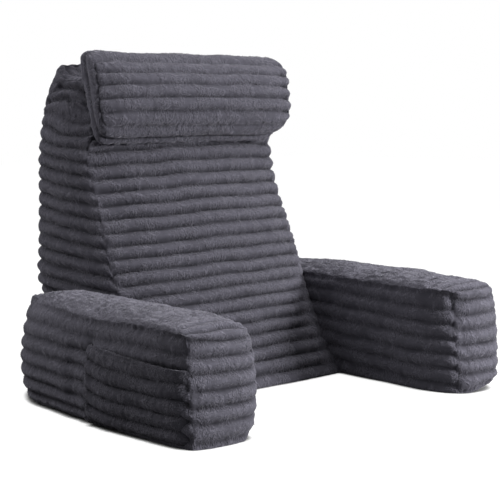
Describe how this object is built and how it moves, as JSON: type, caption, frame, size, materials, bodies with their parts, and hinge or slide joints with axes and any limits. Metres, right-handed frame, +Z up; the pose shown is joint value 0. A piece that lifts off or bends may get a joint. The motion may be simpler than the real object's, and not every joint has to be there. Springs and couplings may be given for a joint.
{
  "type": "reading pillow with arms",
  "caption": "Filled wedge backrest in wide-ribbed plush for reading in bed, with boxed arms, a padded head pillow and a patch pocket on an arm.",
  "frame": {"origin": "on the surface that the pillow rests on, under the middle of its box", "axes": "+Z up, -Y the way the sitter faces, +X towards the sitter's left arm"},
  "size_m": [0.7374, 0.597, 0.5904],
  "materials": {
    "arm_plush": "short-pile plush cut in wide ribs",
    "back_plush": "short-pile plush cut in wide ribs",
    "head_plush": "short-pile plush cut in wide ribs",
    "pocket_plush": "short-pile plush cut in wide ribs"
  },
  "bodies": {
    "root": {"arm_left": "arm_plush", "arm_right": "arm_plush", "backrest": "back_plush", "head_pillow": "head_plush", "side_pocket": "pocket_plush"}
  },
  "joints": []
}
